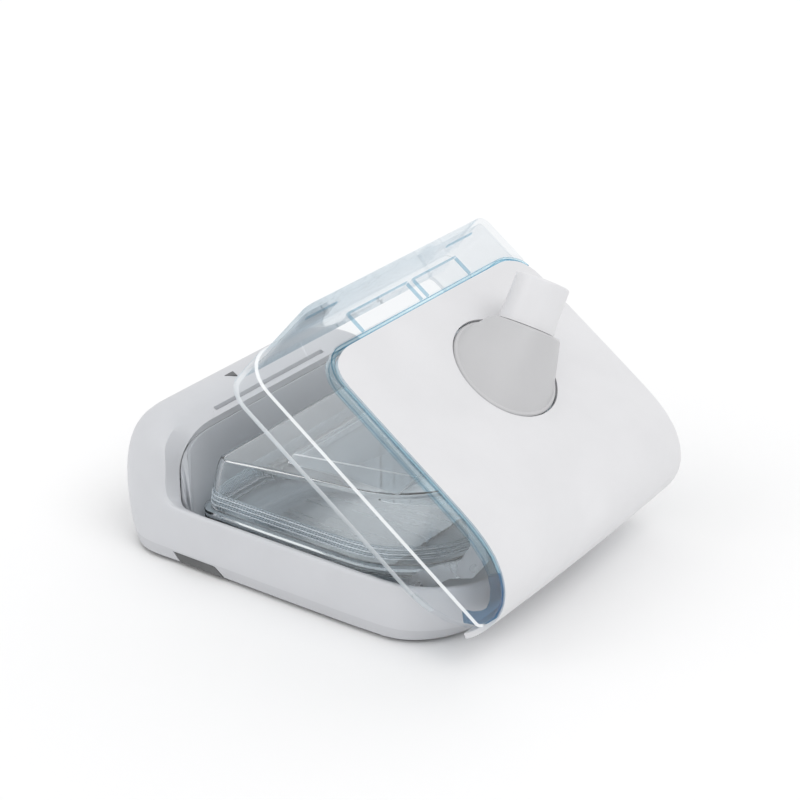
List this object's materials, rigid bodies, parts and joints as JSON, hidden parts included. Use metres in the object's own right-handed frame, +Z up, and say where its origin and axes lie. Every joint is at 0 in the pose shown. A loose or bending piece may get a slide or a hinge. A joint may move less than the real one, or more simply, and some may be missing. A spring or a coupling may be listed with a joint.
{
  "type": "heated humidifier module",
  "caption": "Bedside humidifier unit: pale base with a tall front wall, lift-out clear water tank, flip-up clear lid with white panel and a swivelling white outlet elbow",
  "frame": {"origin": "centre of the overall box on the floor plane, with the lid open", "axes": "+Z up, -Y front (tall wall), +Y hinge side, -X side that docks to the flow unit"},
  "size_m": [0.14, 0.1916, 0.1196],
  "materials": {
    "white_shell": "fine texture",
    "white_panel": "satin",
    "grey_liner": "fine texture",
    "clear_plastic": "clear, polished",
    "clear_blue_trim": "clear blue tint, polished",
    "frosted_plastic": "frosted",
    "dark_rubber": "matte",
    "grey_silicone": "smooth",
    "brushed_steel": "brushed",
    "insulator": "matte",
    "circuit_board": "lacquered",
    "contact_metal": "plated"
  },
  "bodies": {
    "base": {"air_inlet": "grey_liner", "base_liner": "grey_liner", "base_shell": "white_shell", "bottom_cover": "grey_liner", "control_board": "circuit_board", "dock_connector": "grey_liner", "dock_contact_1": "contact_metal", "dock_contact_2": "contact_metal", "dock_contact_3": "contact_metal", "dock_contact_4": "contact_metal", "dock_contact_5": "contact_metal", "foot_back_left": "dark_rubber", "foot_back_right": "dark_rubber", "foot_front_left": "dark_rubber", "foot_front_right": "dark_rubber", "heater_insulator": "insulator", "heater_spring_a": "brushed_steel", "heater_spring_b": "brushed_steel", "heater_spring_c": "brushed_steel", "hinge_pin_left": "brushed_steel", "hinge_pin_right": "brushed_steel", "inlet_seal": "dark_rubber", "side_grip_left": "dark_rubber", "side_grip_right": "dark_rubber", "thermistor": "insulator"},
    "heater": {"heater_plate": "brushed_steel"},
    "latch": {"dock_latch": "white_shell"},
    "release": {"lid_release": "grey_liner"},
    "tank": {"tank_base": "clear_plastic", "tank_heat_plate": "brushed_steel", "tank_seal": "grey_silicone", "tank_lid": "clear_plastic", "tank_baffle": "clear_plastic"},
    "lid": {"lid_shell": "clear_plastic", "lid_panel": "white_panel", "lid_trim": "clear_blue_trim", "lid_duct": "frosted_plastic", "lid_seal": "grey_silicone", "lid_arm_right": "frosted_plastic", "lid_arm_left": "frosted_plastic", "lid_catch_right": "clear_plastic", "lid_catch_left": "clear_plastic", "lid_rib_right": "clear_plastic", "lid_rib_left": "clear_plastic"},
    "elbow_body": {"elbow": "white_panel", "elbow_port": "white_panel", "elbow_oring": "grey_silicone", "elbow_retainer": "frosted_plastic"}
  },
  "joints": [
    {"name": "lid_hinge", "type": "hinge", "parent": "base", "child": "lid", "pos_m": [0, 0.05316, 0.0223], "axis": [-1, 0, 0], "range_deg": [-35.7, 8]},
    {"name": "elbow_swivel", "type": "hinge", "parent": "lid", "child": "elbow_body", "pos_m": [-0.009, 0.04657, 0.08408], "axis": [0, 0.5835, 0.8121], "range_deg": [-180, 170]},
    {"name": "tank_lift", "type": "slide", "parent": "base", "child": "tank", "axis": [0, 0, 1], "range_m": [0, 0.002]},
    {"name": "heater_float", "type": "slide", "parent": "base", "child": "heater", "axis": [0, 0, -1], "range_m": [0, 0.0008], "stiffness_N_per_m": 2400, "springref_m": -0.002, "deforming": ["heater_spring_a", "heater_spring_b", "heater_spring_c"]},
    {"name": "dock_latch_slide", "type": "slide", "parent": "base", "child": "latch", "axis": [1, 0, 0], "range_m": [0, 0.0012], "stiffness_N_per_m": 300, "springref_m": -0.002},
    {"name": "lid_release_press", "type": "slide", "parent": "base", "child": "release", "axis": [0, 0, -1], "range_m": [0, 0.0015], "stiffness_N_per_m": 400, "springref_m": -0.002}
  ]
}
